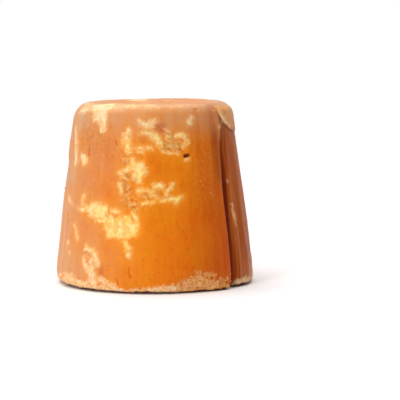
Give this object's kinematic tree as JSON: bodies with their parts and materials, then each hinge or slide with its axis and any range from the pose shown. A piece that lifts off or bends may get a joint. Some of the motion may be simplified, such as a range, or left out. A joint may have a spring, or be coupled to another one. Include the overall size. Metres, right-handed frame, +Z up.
{
  "type": "jaggery block",
  "caption": "Solid tapered block of set cane sugar with rounded shoulders, cloth creases down its wall, pale crumbly scars and a flat base.",
  "frame": {"origin": "centre of the flat base, in the plane that the block rests on", "axes": "+Z up towards the narrow top, -Y towards the front with the pale scars, +X towards the deep crease"},
  "size_m": [0.107, 0.1074, 0.0989],
  "materials": {
    "jaggery": "set amber sugar, half-gloss, with pale crystalline patches"
  },
  "bodies": {
    "root": {"jaggery_block": "jaggery"}
  },
  "joints": []
}
